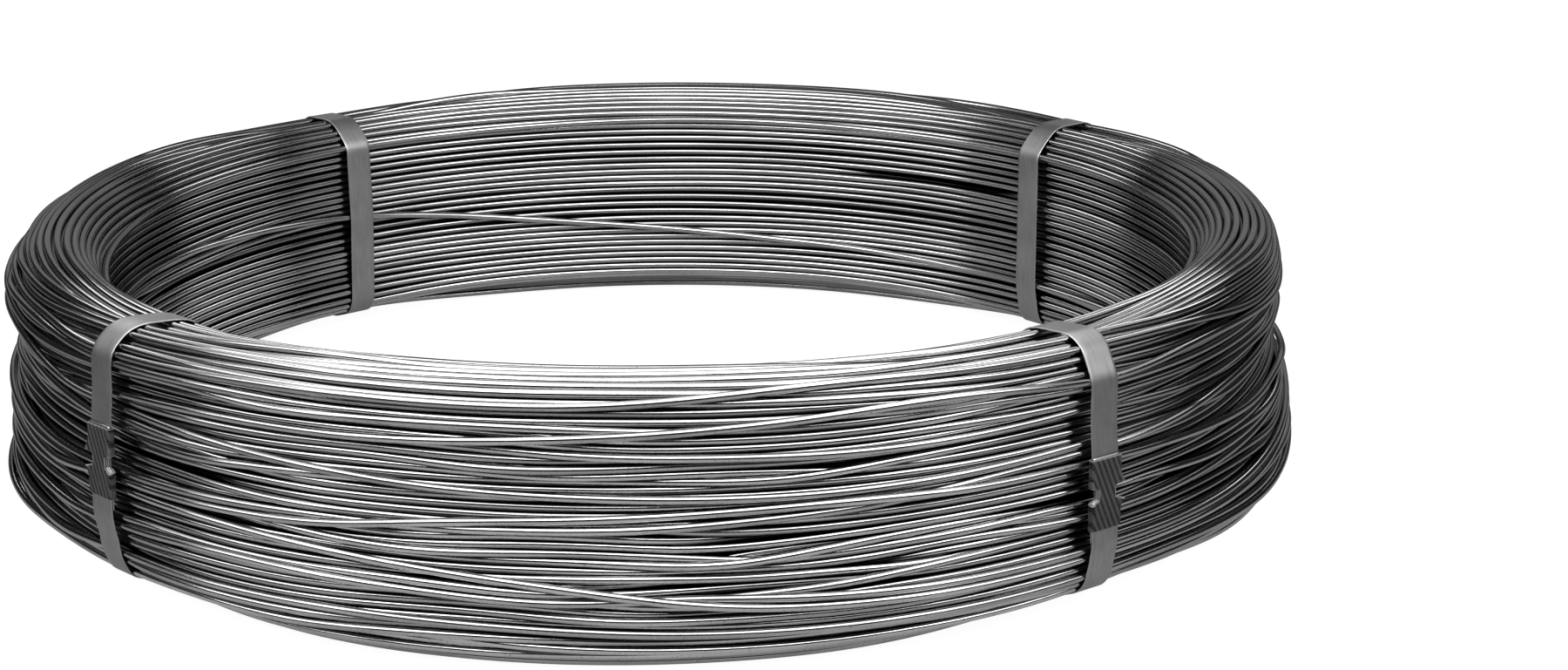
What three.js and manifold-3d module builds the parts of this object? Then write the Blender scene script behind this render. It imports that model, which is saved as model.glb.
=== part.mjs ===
// A coil of round steel wire rod, lying flat and held by four steel straps.
// Each strap is one band wrapped round the coil's section, with its two ends lapped on the outer face
// inside a crimped steel seal. Millimetres, +Z up, origin on the floor at the middle of the coil.
import * as THREE from "three";
import { mergeVertices } from "three/addons/utils/BufferGeometryUtils.js";
import Module from "manifold-3d";

const wasm = await Module();
wasm.setup();

// ---- Driving dimensions ----------------------------------------------------------------------------

// The rod and the coil that is wound from it.
const ROD_DIAMETER = 4.6;
const TURN_PITCH = 4.85; // from one surface turn to the next
const GROOVE_DEPTH = 1.8; // how deep the groove between two turns shows
const COIL_BORE = 670; // across the innermost turns
const COIL_BUILD = 65; // from the innermost turns to the outermost
const COIL_HEIGHT = 154;
const CROWN_FLAT = 7; // the flat left between the rounded shoulders of the section
const COIL_FACETS = 36;

// The strapping band.
const STRAP_WIDTH = 19;
const STRAP_THICKNESS = 0.8;
const STRAP_ANGLES = {
  front_left: 225,
  front_right: 308.5,
  back_right: 40.4,
  back_left: 131.6,
};
const TAIL_LENGTH = 7; // the under end of the band shows this far below the seal
const CUT_END_LENGTH = 2.5; // the outer end is cut off this far above the seal
const JOGGLE_LENGTH = 12; // the stretch in which the band moves out to its place in the seal
const BEND_STEPS = 7;

// The seal that joins the two ends.
const SEAL_LENGTH = 39;
const SEAL_SHEET = 0.9;
const SEAL_FLANGE = 8; // how far each flange folds in behind the band
const SEAL_BEND_RADIUS = 1.1;
const SEAL_HEIGHTS = {
  // of each seal's middle, above the floor
  front_left: 79.5,
  front_right: 70.5,
  back_right: 70.5,
  back_left: 70.5,
};
const NOTCH_LENGTH = 9;
const NOTCH_DEPTH = 3.6; // in from the edge of the seal
const EAR_HEIGHT = 2.4; // of the corners that the crimping turns outwards

// The gap kept between pieces that touch.
const CLEARANCE = 0.3;

// ---- Worked-out sizes ------------------------------------------------------------------------------

const boreRadius = COIL_BORE / 2;
const outerRadius = boreRadius + COIL_BUILD;
const shoulderRadius = (COIL_BUILD - CROWN_FLAT) / 2;
const coilBottom = STRAP_THICKNESS + CLEARANCE; // the band runs under the coil
const coilTop = coilBottom + COIL_HEIGHT;

// How far the flat-faced bore and the curve across the band's width stand in from the true circle.
const boreFacetRise = boreRadius * (1 - Math.cos(Math.PI / COIL_FACETS));
const boreCurveRise = STRAP_WIDTH ** 2 / 8 / boreRadius;

// Distances from the coil's outer face to the middle of each of the two lapped layers of band.
const layerPitch = STRAP_THICKNESS + CLEARANCE;
const innerLayer = CLEARANCE + SEAL_SHEET + CLEARANCE + STRAP_THICKNESS / 2;
const outerLayer = innerLayer + layerPitch;

const materials = {
  rod: new THREE.MeshStandardMaterial({ color: 0x9a9b9d, roughness: 0.35, metalness: 0.95 }),
  strap: new THREE.MeshStandardMaterial({ color: 0x6f7072, roughness: 0.55, metalness: 0.8 }),
  seal: new THREE.MeshStandardMaterial({ color: 0x3d3e40, roughness: 0.6, metalness: 0.75 }),
};

// ---- Helpers ---------------------------------------------------------------------------------------

/** A closed three.js geometry as a manifold-3d solid. */
function solidOf(geometry) {
  const bare = geometry.clone();
  bare.deleteAttribute("normal");
  bare.deleteAttribute("uv");
  const merged = mergeVertices(bare, 1e-4);
  return new wasm.Manifold(
    new wasm.Mesh({
      numProp: 3,
      vertProperties: new Float32Array(merged.attributes.position.array),
      triVerts: new Uint32Array(merged.index.array),
    }),
  );
}

/** A manifold-3d solid as a three.js geometry. */
function geometryOf(solid) {
  const mesh = solid.getMesh();
  const geometry = new THREE.BufferGeometry();
  geometry.setAttribute("position", new THREE.BufferAttribute(mesh.vertProperties, mesh.numProp));
  geometry.setIndex(new THREE.BufferAttribute(mesh.triVerts, 1));
  geometry.computeVertexNormals();
  return geometry;
}

/** The points of a round bend about (x, y), from one angle to another, in degrees. */
function bend(x, y, radius, fromDegrees, toDegrees, steps) {
  return Array.from({ length: steps + 1 }, (_, i) => {
    const angle = THREE.MathUtils.degToRad(THREE.MathUtils.lerp(fromDegrees, toDegrees, i / steps));
    return new THREE.Vector2(x + radius * Math.cos(angle), y + radius * Math.sin(angle));
  });
}

/** The unit normal on the left of a path at its point i. */
function leftNormal(path, i) {
  const ahead = path[Math.min(i + 1, path.length - 1)];
  const behind = path[Math.max(i - 1, 0)];
  const along = ahead.clone().sub(behind).normalize();
  return new THREE.Vector2(-along.y, along.x);
}

/** The closed outline of a sheet of the given thickness whose middle follows an open path. */
function sheetOutline(path, thickness) {
  const side = (way) => path.map((p, i) => p.clone().addScaledVector(leftNormal(path, i), (way * thickness) / 2));
  return [...side(1), ...side(-1).reverse()];
}

/** Turns a drawing in (radius, height) that was extruded sideways upright, centred on its width. */
function standUp(geometry, width) {
  return geometry.rotateX(Math.PI / 2).translate(0, width / 2, 0);
}

// ---- The coil --------------------------------------------------------------------------------------

/** The line through the middles of the surface turns, as (radius, height), round the whole section. */
function turnCentreLine() {
  const inset = ROD_DIAMETER / 2;
  const radius = shoulderRadius - inset;
  const [low, high] = [coilBottom + shoulderRadius, coilTop - shoulderRadius];
  const [inner, outer] = [boreRadius + shoulderRadius, outerRadius - shoulderRadius];
  const line = new THREE.CurvePath();
  const arc = (x, y, from) => {
    const curve = new THREE.EllipseCurve(x, y, radius, radius, from, from + Math.PI / 2, false, 0);
    const start = curve.getPoint(0);
    if (line.curves.length) {
      line.add(new THREE.LineCurve(line.curves.at(-1).getPoint(1), start));
    }
    line.add(curve);
  };
  arc(outer, low, -Math.PI / 2);
  arc(outer, high, 0);
  arc(inner, high, Math.PI / 2);
  arc(inner, low, Math.PI);
  line.add(new THREE.LineCurve(line.curves.at(-1).getPoint(1), line.curves[0].getPoint(0)));
  return line;
}

/** The coil's section: a crest on each surface turn and a groove between each two. */
function coilProfile() {
  const line = turnCentreLine();
  const turns = Math.round(line.getLength() / TURN_PITCH);
  const crest = ROD_DIAMETER / 2;
  const groove = crest - GROOVE_DEPTH;
  const points = Array.from({ length: 2 * turns }, (_, i) => {
    const u = i / (2 * turns);
    const along = line.getTangentAt(u);
    const outward = new THREE.Vector2(along.y, -along.x);
    return line.getPointAt(u).addScaledVector(outward, i % 2 ? groove : crest);
  });
  return [...points, points[0].clone()];
}

/** The coil, turned about its axis. */
function coilGeometry() {
  return new THREE.LatheGeometry(coilProfile(), COIL_FACETS).rotateX(Math.PI / 2);
}

// ---- The straps ------------------------------------------------------------------------------------

/** The middle of the band, as (radius, height), from its under end over the top and round to its cut end. */
function strapPath(sealHeight) {
  const half = STRAP_THICKNESS / 2;
  const inside = boreRadius - boreFacetRise - boreCurveRise - CLEARANCE - half;
  const outside = outerRadius + CLEARANCE + half;
  const [floor, top] = [half, coilTop + CLEARANCE + half];
  const radius = shoulderRadius + CLEARANCE + half;
  const [left, right] = [inside + radius, outside - radius];
  const [low, high] = [floor + radius, top - radius];
  const tailEnd = sealHeight - SEAL_LENGTH / 2 - TAIL_LENGTH;
  const cutEnd = sealHeight + SEAL_LENGTH / 2 + CUT_END_LENGTH;
  return [
    new THREE.Vector2(outerRadius + innerLayer, tailEnd),
    new THREE.Vector2(outerRadius + innerLayer, cutEnd),
    new THREE.Vector2(outside, cutEnd + JOGGLE_LENGTH),
    ...bend(right, high, radius, 0, 90, BEND_STEPS),
    ...bend(left, high, radius, 90, 180, BEND_STEPS),
    ...bend(left, low, radius, 180, 270, BEND_STEPS),
    ...bend(right, low, radius, 270, 360, BEND_STEPS),
    new THREE.Vector2(outerRadius + outerLayer, tailEnd),
    new THREE.Vector2(outerRadius + outerLayer, cutEnd),
  ];
}

/** The band, lying in the plane y = 0 of its own frame, with x out from the coil's axis. */
function strapSolid(sealHeight) {
  const shape = new THREE.Shape(sheetOutline(strapPath(sealHeight), STRAP_THICKNESS));
  const band = new THREE.ExtrudeGeometry(shape, { depth: STRAP_WIDTH, bevelEnabled: false });
  return notched(solidOf(standUp(band, STRAP_WIDTH)), sealHeight);
}

// ---- The seals -------------------------------------------------------------------------------------

const sealInnerHalf = STRAP_WIDTH / 2 + CLEARANCE;
const sealOuterHalf = sealInnerHalf + SEAL_SHEET;
const sealBack = outerRadius + CLEARANCE; // the flanges' backs
const sealFront = outerRadius + outerLayer + STRAP_THICKNESS / 2 + CLEARANCE + SEAL_SHEET;

/** The middle of the seal's sheet across the band, as (radius, sideways), one flange tip to the other. */
function sealPath() {
  const half = SEAL_SHEET / 2;
  const [back, front] = [sealBack + half, sealFront - half];
  const side = sealOuterHalf - half;
  const r = SEAL_BEND_RADIUS - half;
  const steps = 3;
  return [
    new THREE.Vector2(back, -(side - SEAL_FLANGE)),
    ...bend(back + r, -(side - r), r, -180, -90, steps),
    ...bend(front - r, -(side - r), r, -90, 0, steps),
    ...bend(front - r, side - r, r, 0, 90, steps),
    ...bend(back + r, side - r, r, 90, 180, steps),
    new THREE.Vector2(back, side - SEAL_FLANGE),
  ];
}

/** The two notches that the crimping cuts through the seal and both layers of band, one at each edge. */
function notchCutters(sealHeight) {
  const reach = sealFront - sealBack + 2 * CLEARANCE;
  return [-1, 1].map((side) => {
    const edge = side * (sealOuterHalf + CLEARANCE);
    const floor = side * (sealOuterHalf - NOTCH_DEPTH);
    const shape = new THREE.Shape([
      new THREE.Vector2(edge, -NOTCH_LENGTH / 2),
      new THREE.Vector2(edge, NOTCH_LENGTH / 2),
      new THREE.Vector2(floor, NOTCH_LENGTH / 3),
      new THREE.Vector2(floor, -NOTCH_LENGTH / 3),
    ]);
    // The drawing's x is sideways and its y is height, so the cutter is turned to run along the radius.
    const cutter = new THREE.ExtrudeGeometry(shape, { depth: reach, bevelEnabled: false });
    cutter.rotateX(Math.PI / 2).rotateZ(Math.PI / 2);
    cutter.translate(sealBack - CLEARANCE, 0, sealHeight);
    return solidOf(cutter);
  });
}

/** A solid with both notches cut out of it. */
function notched(solid, sealHeight) {
  return notchCutters(sealHeight).reduce((left, cutter) => left.subtract(cutter), solid);
}

/** The torn corners of the sheet, bent out of the seal's face at the two ends of each notch. */
function sealEars(sealHeight) {
  const places = [-1, 1].flatMap((side) => [-1, 1].map((end) => [side, end]));
  return places.map(([side, end]) => {
    const root = sealFront - SEAL_SHEET / 2;
    const ear = new THREE.Shape([
      new THREE.Vector2(root, side * (sealOuterHalf - NOTCH_DEPTH)),
      new THREE.Vector2(root, side * (sealOuterHalf - SEAL_BEND_RADIUS)),
      new THREE.Vector2(sealFront + EAR_HEIGHT, side * sealOuterHalf),
      new THREE.Vector2(sealFront + EAR_HEIGHT, side * (sealOuterHalf - SEAL_SHEET)),
    ]);
    const plate = new THREE.ExtrudeGeometry(ear, { depth: SEAL_SHEET, bevelEnabled: false });
    plate.translate(0, 0, sealHeight + (end * (NOTCH_LENGTH + SEAL_SHEET) - SEAL_SHEET) / 2);
    return solidOf(plate);
  });
}

/** The seal, in the band's own frame. */
function sealSolid(sealHeight) {
  const shape = new THREE.Shape(sheetOutline(sealPath(), SEAL_SHEET));
  const sleeve = new THREE.ExtrudeGeometry(shape, { depth: SEAL_LENGTH, bevelEnabled: false });
  sleeve.translate(0, 0, sealHeight - SEAL_LENGTH / 2);
  return sealEars(sealHeight).reduce((whole, ear) => whole.add(ear), notched(solidOf(sleeve), sealHeight));
}

// ---- The assembly ----------------------------------------------------------------------------------

/** A named mesh. */
function mesh(name, geometry, material) {
  const made = new THREE.Mesh(geometry, material);
  made.name = name;
  return made;
}

const coil = new THREE.Group();
coil.add(mesh("wire_coil", coilGeometry(), materials.rod));

for (const [place, degrees] of Object.entries(STRAP_ANGLES)) {
  const binding = new THREE.Group();
  binding.rotation.z = THREE.MathUtils.degToRad(degrees);
  binding.add(mesh(`strap_${place}`, geometryOf(strapSolid(SEAL_HEIGHTS[place])), materials.strap));
  binding.add(mesh(`seal_${place}`, geometryOf(sealSolid(SEAL_HEIGHTS[place])), materials.seal));
  coil.add(binding);
}

export default coil;
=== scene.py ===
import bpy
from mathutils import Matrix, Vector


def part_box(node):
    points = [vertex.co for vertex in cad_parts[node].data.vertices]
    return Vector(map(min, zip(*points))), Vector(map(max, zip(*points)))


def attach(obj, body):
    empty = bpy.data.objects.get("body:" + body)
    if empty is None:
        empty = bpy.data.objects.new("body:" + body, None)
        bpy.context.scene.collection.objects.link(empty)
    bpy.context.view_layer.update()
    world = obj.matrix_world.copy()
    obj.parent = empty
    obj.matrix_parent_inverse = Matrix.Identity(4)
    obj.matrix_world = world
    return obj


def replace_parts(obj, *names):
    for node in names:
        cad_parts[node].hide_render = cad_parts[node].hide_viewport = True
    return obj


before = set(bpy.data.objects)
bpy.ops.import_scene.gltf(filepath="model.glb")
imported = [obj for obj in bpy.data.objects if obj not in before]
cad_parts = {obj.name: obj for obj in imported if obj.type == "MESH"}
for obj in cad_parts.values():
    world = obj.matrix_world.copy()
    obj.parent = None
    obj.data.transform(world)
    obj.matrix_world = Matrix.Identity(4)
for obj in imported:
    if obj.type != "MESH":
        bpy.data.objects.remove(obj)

"""A flat-lying coil of steel wire rod, bound by four steel straps with notched seals.

The turns are laid as round rods that push each other apart and bed down on the layer below. Each
strap is then drawn taut round the turns that it crosses. Everything is in metres, +Z up, with the
coil's axis at the origin. A place on the skin is given by an angle about that axis, and by a share
of the way round the coil's section, which starts at the foot of the outer face and climbs it.
"""
import logging
import math
from collections.abc import Sequence
from dataclasses import dataclass, field
from enum import Enum

import bpy
import numpy as np
from mathutils import Matrix, Vector
from numpy.typing import NDArray

Array = NDArray[np.float64]
log = logging.getLogger("wire_rod_coil")

MM = 0.001
TURN = 2.0 * math.pi
TINY = 1e-9


# ---- Shapes ----------------------------------------------------------------------------------------

def add_mesh(name: str, vertices: Array, faces: Sequence | NDArray[np.int64]) -> bpy.types.Object:
    """Makes a smooth-shaded mesh object whose place is in its mesh.

    Args:
        name: the piece's name.
        vertices: (n, 3) corners in metres.
        faces: the faces, as lists of corner numbers that turn left seen from outside.

    Returns:
        The new object, linked to the scene.
    """
    mesh = bpy.data.meshes.new(name)
    mesh.from_pydata(vertices, [], faces)
    mesh.polygons.foreach_set("use_smooth", np.ones(len(mesh.polygons), dtype=bool))
    mesh.validate()
    piece = bpy.data.objects.new(name, mesh)
    bpy.context.scene.collection.objects.link(piece)
    return piece


def add_vectors(piece: bpy.types.Object, name: str, vectors: Array) -> None:
    """Stores one vector for each corner of a piece, for its material to read.

    Args:
        piece: the mesh object.
        name: the attribute's name.
        vectors: (n, 3) values.
    """
    attribute = piece.data.attributes.new(name, "FLOAT_VECTOR", "POINT")
    attribute.data.foreach_set("vector", np.ascontiguousarray(vectors, dtype=np.float32).ravel())


def grid_faces(rows: int, columns: int, wrap_rows: bool, wrap_columns: bool) -> NDArray[np.int64]:
    """Quads between the points of a grid, row to next row and then column to next column.

    Args:
        rows: the number of rows.
        columns: the number of columns.
        wrap_rows: whether the last row joins the first.
        wrap_columns: whether the last column joins the first.

    Returns:
        (m, 4) corner numbers.
    """
    row = np.arange(rows if wrap_rows else rows - 1)[:, None]
    column = np.arange(columns if wrap_columns else columns - 1)[None, :]
    next_row, next_column = (row + 1) % rows, (column + 1) % columns
    turn = [(row, column), (next_row, column), (next_row, next_column), (row, next_column)]
    corners = [np.broadcast_to(at * columns + along, (row.size, column.size)) for at, along in turn]
    return np.stack(corners, -1).reshape(-1, 4)


def unit(vectors: Array) -> Array:
    """Vectors scaled to a length of one along their last axis."""
    return vectors / np.maximum(np.linalg.norm(vectors, axis=-1, keepdims=True), TINY)


def smooth_round(values: Array, cutoff: float) -> Array:
    """Values along the first axis, which closes on itself, with their short waves taken out.

    Each wave is divided by one plus the fourth power of its number over the cutoff's.

    Args:
        values: an array whose first axis runs once round.
        cutoff: the number of the wave that keeps half its height, counted once round.

    Returns:
        The smoothed array.
    """
    waves = np.fft.rfft(values, axis=0)
    number = np.arange(len(waves)).reshape((-1,) + (1,) * (values.ndim - 1))
    return np.fft.irfft(waves / (1.0 + (number / cutoff) ** 4), n=len(values), axis=0)


# ---- The coil's section ----------------------------------------------------------------------------

@dataclass(frozen=True)
class CoilSection:
    """The rounded section that the turns fill, as (distance from the axis, height).

    Attributes:
        inner: distance from the axis to the innermost face.
        outer: distance from the axis to the outermost face.
        bottom: height of the lowest face.
        top: height of the highest face.
        shoulder: radius of the four rounded corners.
        corner_points: how many points each corner is sampled at.
    """

    inner: float
    outer: float
    bottom: float
    top: float
    shoulder: float
    corner_points: int = 40

    def outline_table(self) -> tuple[Array, Array, Array]:
        """Samples the outline from the foot of the outer face, up it and round.

        Each corner is a quarter circle, and the straight stretches are what joins them.

        Returns:
            The share of the way round, the points, and the outward normals, with the first repeated.
        """
        low, high = self.bottom + self.shoulder, self.top - self.shoulder
        left, right = self.inner + self.shoulder, self.outer - self.shoulder
        sweep = np.linspace(0.0, math.pi / 2, self.corner_points)
        centres = [(right, high), (left, high), (left, low), (right, low)]
        angles = np.concatenate([[0.0], *[sweep + corner * math.pi / 2 for corner in range(4)]])
        middles = np.array([centres[3]] + [centre for centre in centres for _ in sweep])
        normals = np.stack([np.cos(angles), np.sin(angles)], -1)
        points = middles + self.shoulder * normals
        travel = np.concatenate([[0.0], np.cumsum(np.linalg.norm(np.diff(points, axis=0), axis=-1))])
        return travel / travel[-1], points, normals

    def place(self, share: Array, inset: float | Array) -> tuple[Array, Array]:
        """Points at an inset from the outline, and the outward normals there.

        Args:
            share: the share of the way round, of any shape.
            inset: how far in from the outline, of the same shape or one number.

        Returns:
            The points and the normals, each with a last axis of two.
        """
        stops, points, normals = self.outline_table()
        read = np.mod(share, 1.0)
        point = np.stack([np.interp(read, stops, column) for column in points.T], -1)
        normal = unit(np.stack([np.interp(read, stops, column) for column in normals.T], -1))
        return point - normal * np.asarray(inset)[..., None], normal

    def depth(self, points: Array) -> tuple[Array, Array]:
        """How deep points lie inside the outline, and the outward normal at each.

        The outline is a box with rounded corners: past the flats, the depth is measured from a
        corner's centre, and elsewhere from the nearer flat.

        Args:
            points: (..., 2) places in the section.

        Returns:
            The depths, negative outside, and the normals.
        """
        middle = np.array([(self.inner + self.outer) / 2, (self.bottom + self.top) / 2])
        half = np.array([self.outer - self.inner, self.top - self.bottom]) / 2 - self.shoulder
        offset = points - middle
        past = np.abs(offset) - half
        corner = np.maximum(past, 0.0)
        reach = np.linalg.norm(corner, axis=-1)
        flat = np.minimum(past.max(-1), 0.0)
        nearer = (past == past.max(-1, keepdims=True)).astype(float)
        normal = np.where((reach > TINY)[..., None], corner, nearer) * np.sign(offset)
        return self.shoulder - reach - flat, unit(normal)


@dataclass(frozen=True)
class WaveField:
    """A smooth random field over the coil's skin that closes both round the axis and round the section.

    It is a sum of cosines, each with a whole number of waves both ways, a random phase and a random
    height, scaled so that the whole has the stated standard deviation.

    Attributes:
        seed: sets the random draws.
        height: the standard deviation.
        round_axis: the fewest and the most waves round the axis.
        round_section: the fewest and the most waves round the section.
        count: the number of cosines.
    """

    seed: int
    height: float
    round_axis: tuple[int, int]
    round_section: tuple[int, int]
    count: int = 28

    def at(self, share: Array, angle: Array) -> Array:
        """The field's value at places on the skin.

        Args:
            share: the share of the section.
            angle: about the axis, of the same shape.

        Returns:
            Values about zero, in the unit of the field's height.
        """
        draw = np.random.default_rng(self.seed)
        along = draw.integers(self.round_axis[0], self.round_axis[1] + 1, self.count)
        across = draw.integers(self.round_section[0], self.round_section[1] + 1, self.count)
        across = across * draw.choice([-1, 1], self.count)
        phase = draw.uniform(0.0, TURN, self.count)
        weight = draw.normal(size=self.count)
        weight *= self.height / math.sqrt((weight**2).sum() / 2)
        wave = np.cos(angle[..., None] * along + TURN * share[..., None] * across + phase)
        return (wave * weight).sum(-1)


# ---- The turns -------------------------------------------------------------------------------------

class Layer(Enum):
    """Where a turn lies in the winding. Its number picks the layer's own value out of a triple."""

    UNDER = 0
    SKIN = 1
    STRAND = 2


@dataclass(frozen=True)
class Strand:
    """One turn that crosses the others on top of them.

    Attributes:
        stops: (angle in degrees, share of the section) through which it runs, once round.
        cutoff: the number of the wave that smoothing halves, counted once round.
    """

    stops: tuple[tuple[float, float], ...]
    cutoff: float = 9.0

    def shares(self, angle: Array) -> Array:
        """Its course: straight between the stops, then smoothed.

        Args:
            angle: about the axis, evenly once round.

        Returns:
            Its share of the section at each angle.
        """
        places, shares = np.array(self.stops).T
        raw = np.interp(np.degrees(angle), places, shares, period=360.0)
        return smooth_round(raw, self.cutoff)


def stray_strand(seed: int, share: float, wander: float, spacing: float = 30.0) -> Strand:
    """A strand that wanders slowly about one share.

    Its course is the sum of one, two and three waves round, each of a random phase and of a height
    that is one over its number. The sum is then divided by its usual highest value.

    Args:
        seed: sets the random draws.
        share: the middle of its course.
        wander: how far it strays to either side.
        spacing: the angle between its stops, in degrees.

    Returns:
        The strand.
    """
    draw = np.random.default_rng(seed)
    usual_peak = 1.4
    stops = np.arange(0.0, 360.0, spacing)
    waves = sum(np.sin(np.radians(stops) * count + draw.uniform(0.0, TURN)) / count for count in (1, 2, 3))
    return Strand(tuple(zip(stops.tolist(), (share + wander * waves / usual_peak).tolist())))


@dataclass(frozen=True)
class Bulge:
    """A place where the turns stand proud, or sink in where its rise is negative.

    Attributes:
        angle: of its middle, in degrees.
        share: of its middle.
        half_angle: how far round the axis it fades, in degrees.
        half_share: how far round the section it fades.
        rise: at its middle.
    """

    angle: float
    share: float
    half_angle: float
    half_share: float
    rise: float

    def at(self, share: Array, angle: Array) -> Array:
        """Its rise at places on the skin: a bell curve both ways.

        Args:
            share: the share of the section.
            angle: about the axis, of the same shape.

        Returns:
            Distances, positive outwards.
        """
        round_axis = (np.mod(np.degrees(angle) - self.angle + 180.0, 360.0) - 180.0) / self.half_angle
        round_section = (np.mod(share - self.share + 0.5, 1.0) - 0.5) / self.half_share
        return self.rise * np.exp(-(round_axis**2) - round_section**2)


@dataclass(frozen=True)
class Swell:
    """How the finished coil departs from a true ring: drawn in at the straps and full between them.

    Attributes:
        strap_angles: where the straps stand, in radians.
        bulges: single bulges and hollows.
        waves: bulges and hollows all over.
        outer_squeeze: how far the straps draw the outer face in at its top.
        crown_squeeze: how far they draw the top down.
        foot_squeeze: how far they lift the underside.
        eye_squeeze: how far they draw the eye's face back.
        spread: the angle over which a strap's squeeze fades, in radians.
        lean_foot: how far the outer face stands in at the foot.
        lean_top: how far it stands in at the top.
        toe: how far the two lower corners are rounded off beyond the section's own arc.
        firm_waves: how much of the waves is left where the face doesn't look outwards, as a share.
    """

    strap_angles: tuple[float, ...]
    bulges: tuple[Bulge, ...]
    waves: WaveField
    outer_squeeze: float = 4.0 * MM
    crown_squeeze: float = 7.5 * MM
    foot_squeeze: float = 10.0 * MM
    eye_squeeze: float = 1.5 * MM
    spread: float = math.radians(15)
    lean_foot: float = 3.0 * MM
    lean_top: float = 7.0 * MM
    toe: float = 4.5 * MM
    firm_waves: float = 0.3

    def nearness(self, angle: Array, spread: float) -> Array:
        """How near angles are to a strap, as a bell curve of the angle from it.

        Args:
            angle: about the axis.
            spread: where the curve has fallen to about a third.

        Returns:
            Values from 0 to 1.
        """
        away = [np.mod(angle - strap + math.pi, TURN) - math.pi for strap in self.strap_angles]
        return sum(np.exp(-((one / spread) ** 2)) for one in away)

    def at(self, share: Array, angle: Array, normal: Array, rise: Array) -> Array:
        """How far the skin moves along its outward normal.

        A strap's squeeze is a bell curve of the angle from it, with its own depth on each face. On
        the outer face it grows with the height. The toe is a hump over each lower corner: 27/4 of
        the foot's weight squared times what the weight leaves of one, which is one at its highest.
        The waves are strongest on the outer face, and fade out at the straps and on the underside.

        Args:
            share: the share of the section, of one shape with the angle.
            angle: about the axis.
            normal: the section's outward normals, with a last axis of two.
            rise: the height above the floor as a share of the coil's height.

        Returns:
            Distances, positive outwards.
        """
        pull = self.nearness(angle, self.spread) + 0.0 * share
        outer, eye = np.clip(normal[..., 0], 0.0, 1.0) ** 2, np.clip(-normal[..., 0], 0.0, 1.0) ** 2
        crown, foot = np.clip(normal[..., 1], 0.0, 1.0) ** 2, np.clip(-normal[..., 1], 0.0, 1.0) ** 2
        squeeze = outer**2 * self.outer_squeeze * rise + eye**2 * self.eye_squeeze
        squeeze = squeeze + crown**2 * self.crown_squeeze + foot**2 * self.foot_squeeze
        lean = outer * (self.lean_foot + (self.lean_top - self.lean_foot) * np.clip(rise, 0.0, 1.0))
        lean = lean + self.toe * 27 / 4 * foot**2 * (1.0 - foot)
        slack = self.firm_waves + (1.0 - self.firm_waves) * outer
        free = (1.0 - np.clip(pull, 0.0, 1.0)) * slack * (1.0 - foot)
        bulge = sum((bulge.at(share, angle) for bulge in self.bulges), 0.0 * pull)
        return bulge + free * self.waves.at(share, angle) - squeeze * pull - lean


@dataclass(frozen=True)
class Laying:
    """How the turns are wound on before they settle, in turn pitches where nothing else is said.

    Attributes:
        seed: sets the random draws.
        skin_crowding: how much more closely the skin turns lie on the outer face, as a share.
        under_crowding: the same for the layer below.
        under_start: the place of that layer's first turn.
        uneven: the most that a skin turn is out of its even place all the way round.
        bunching: how far neighbouring skin turns stray together, as a standard deviation.
        straying: how far each strays by itself.
        under_straying: how far the turns of the layer below stray.
        skin_lift: how far above the lower layer's centres the skin turns start, in rods.
        skin_spread: the most that a skin turn starts above or below that, in rods.
        strand_lift: how far above the coil's outline the crossing turns start, in rods.
        eye_play: how freely turns stray round the eye, as a share of the outer face's freedom.
        play_reach: added to the normal's outward part, so that the freedom reaches the shoulders.
    """

    seed: int = 11
    skin_crowding: float = 0.40
    under_crowding: float = -0.12
    under_start: float = 0.25
    uneven: float = 0.12
    bunching: float = 0.32
    straying: float = 0.40
    under_straying: float = 0.30
    skin_lift: float = 0.9
    skin_spread: float = 0.5
    strand_lift: float = 0.62
    eye_play: float = 0.2
    play_reach: float = 0.3


@dataclass(frozen=True)
class Settling:
    """How the turns bed down on each other.

    Attributes:
        rounds: how often they move.
        last_rounds: how many of these, at the end, only push them apart.
        search_every: the rounds between two searches for turns that lie near each other.
        search_reach: how near these are, in rods.
        pushes: how often turns push each other apart in one round.
        longest_push: the most that a turn moves in one push, in rods.
        hold: what a turn takes back of its drift along the skin in a round, for each layer.
        sinking: what it sinks of its height above the lower layer in a round, for each layer.
        cutoff: the number of the wave that the rod's stiffness halves in a round.
        last_cutoff: the same in the last rounds.
        strap_ceiling: how far above the coil's outline a turn may lie under a strap, in rods.
        free_ceiling: how much higher it may lie away from the straps, in rods.
        strap_reach: the angle from a strap at which that is about two thirds of the way up.
    """

    rounds: int = 150
    last_rounds: int = 14
    search_every: int = 12
    search_reach: float = 1.5
    pushes: int = 3
    longest_push: float = 0.2
    hold: tuple[float, float, float] = (0.30, 0.035, 0.06)
    sinking: tuple[float, float, float] = (0.10, 0.10, 0.03)
    cutoff: float = 24.0
    last_cutoff: float = 34.0
    strap_ceiling: float = 0.42
    free_ceiling: float = 3.0
    strap_reach: float = math.radians(7.0)


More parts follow.
